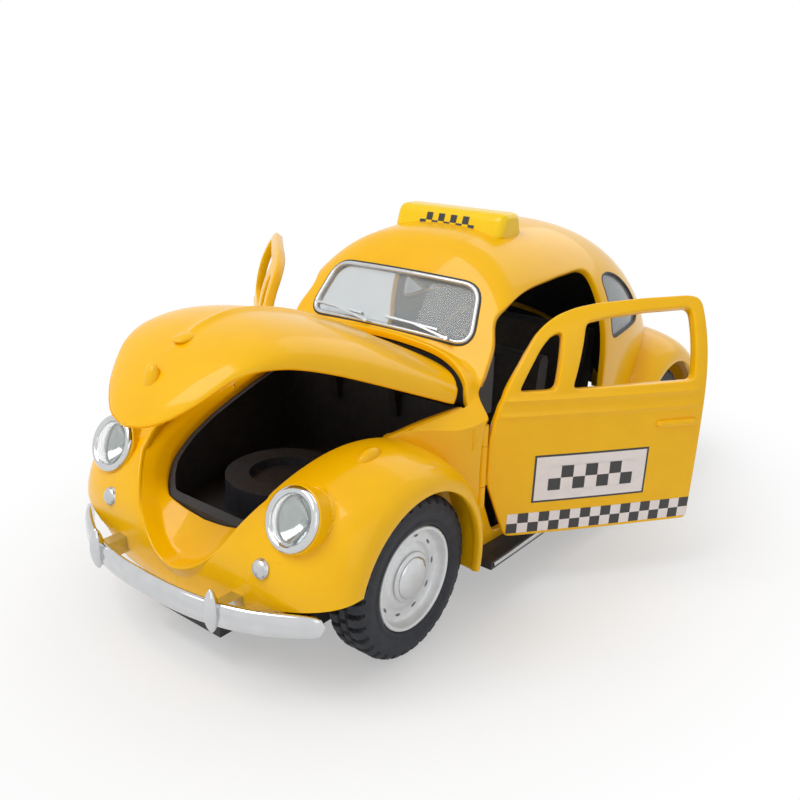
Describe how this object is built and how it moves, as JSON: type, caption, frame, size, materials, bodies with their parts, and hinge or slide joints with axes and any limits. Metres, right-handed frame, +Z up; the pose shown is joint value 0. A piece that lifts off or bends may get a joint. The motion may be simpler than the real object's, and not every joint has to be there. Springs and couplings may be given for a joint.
{
  "type": "toy taxi",
  "caption": "Die-cast toy taxi with a rounded classic saloon body, hinged hood and doors standing open, roof sign and rolling wheels.",
  "frame": {"origin": "middle of the flat underside of the base plate, half way between the axles", "axes": "+Z up, +Y towards the tail along the car, +X towards the car's left side; the wheels stand on the plane z = -5 mm"},
  "size_m": [0.0884, 0.1205, 0.0516],
  "materials": {
    "paint": "glossy yellow paint on a die-cast skin",
    "clear_pane": "clear moulded pane",
    "sign_plastic": "glossy lemon yellow",
    "red_plastic": "glossy translucent red",
    "tyre_rubber": "satin black",
    "rim_silver": "satin silver white",
    "bright_plating": "bright plated",
    "steel": "plain steel",
    "hinge_metal": "painted",
    "black_plastic": "matte black"
  },
  "bodies": {
    "chassis": {"body_shell": "paint", "hood_hinge_bracket": "hinge_metal", "hood_hinge_pin": "steel", "door_hinge_posts_left": "hinge_metal", "door_hinge_pin_left": "steel", "door_hinge_posts_right": "hinge_metal", "door_hinge_pin_right": "steel", "windscreen_pane": "clear_pane", "windscreen_frame": "bright_plating", "wipers": "bright_plating", "quarter_pane_left": "clear_pane", "quarter_pane_right": "clear_pane", "rear_pane": "clear_pane", "headlamp_bezels": "bright_plating", "headlamp_lenses": "clear_pane", "horn_grilles": "bright_plating", "tail_lamps": "red_plastic", "front_bumper": "bright_plating", "rear_bumper": "bright_plating", "roof_sign": "sign_plastic", "running_board_left": "black_plastic", "running_board_right": "black_plastic", "base_plate": "black_plastic", "base_screws": "steel", "exhaust_tips": "bright_plating", "bay_tray": "black_plastic", "spare_wheel": "tyre_rubber", "cabin_tub": "black_plastic", "dashboard": "black_plastic", "steering_wheel": "black_plastic", "front_seat_left": "black_plastic", "front_seat_right": "black_plastic", "rear_seat": "black_plastic"},
    "hood": {"hood_panel": "paint", "hood_hinge_arms": "hinge_metal"},
    "left_door": {"door_left": "paint", "door_knuckle_left": "hinge_metal"},
    "right_door": {"door_right": "paint", "door_knuckle_right": "hinge_metal"},
    "front_wheels": {"front_axle": "steel", "tyre_front_left": "tyre_rubber", "rim_front_left": "rim_silver", "cap_front_left": "bright_plating", "tyre_front_right": "tyre_rubber", "rim_front_right": "rim_silver", "cap_front_right": "bright_plating"},
    "rear_wheels": {"rear_axle": "steel", "tyre_rear_left": "tyre_rubber", "rim_rear_left": "rim_silver", "cap_rear_left": "bright_plating", "tyre_rear_right": "tyre_rubber", "rim_rear_right": "rim_silver", "cap_rear_right": "bright_plating"}
  },
  "joints": [
    {"name": "hood_hinge", "type": "hinge", "parent": "chassis", "child": "hood", "pos_m": [0, -0.021, 0.0281], "axis": [-1, 0, 0], "range_deg": [-29, 14]},
    {"name": "left_door_hinge", "type": "hinge", "parent": "chassis", "child": "left_door", "pos_m": [0.02146, -0.01998, 0.0155], "axis": [0, 0, -1], "range_deg": [-36, 24]},
    {"name": "right_door_hinge", "type": "hinge", "parent": "chassis", "child": "right_door", "pos_m": [-0.02146, -0.01998, 0.0155], "axis": [0, 0, 1], "range_deg": [-48, 12]},
    {"name": "front_axle_spin", "type": "hinge", "parent": "chassis", "child": "front_wheels", "pos_m": [0, -0.0365, 0.0059], "axis": [1, 0, 0], "continuous": true},
    {"name": "rear_axle_spin", "type": "hinge", "parent": "chassis", "child": "rear_wheels", "pos_m": [0, 0.0365, 0.0059], "axis": [1, 0, 0], "continuous": true}
  ]
}
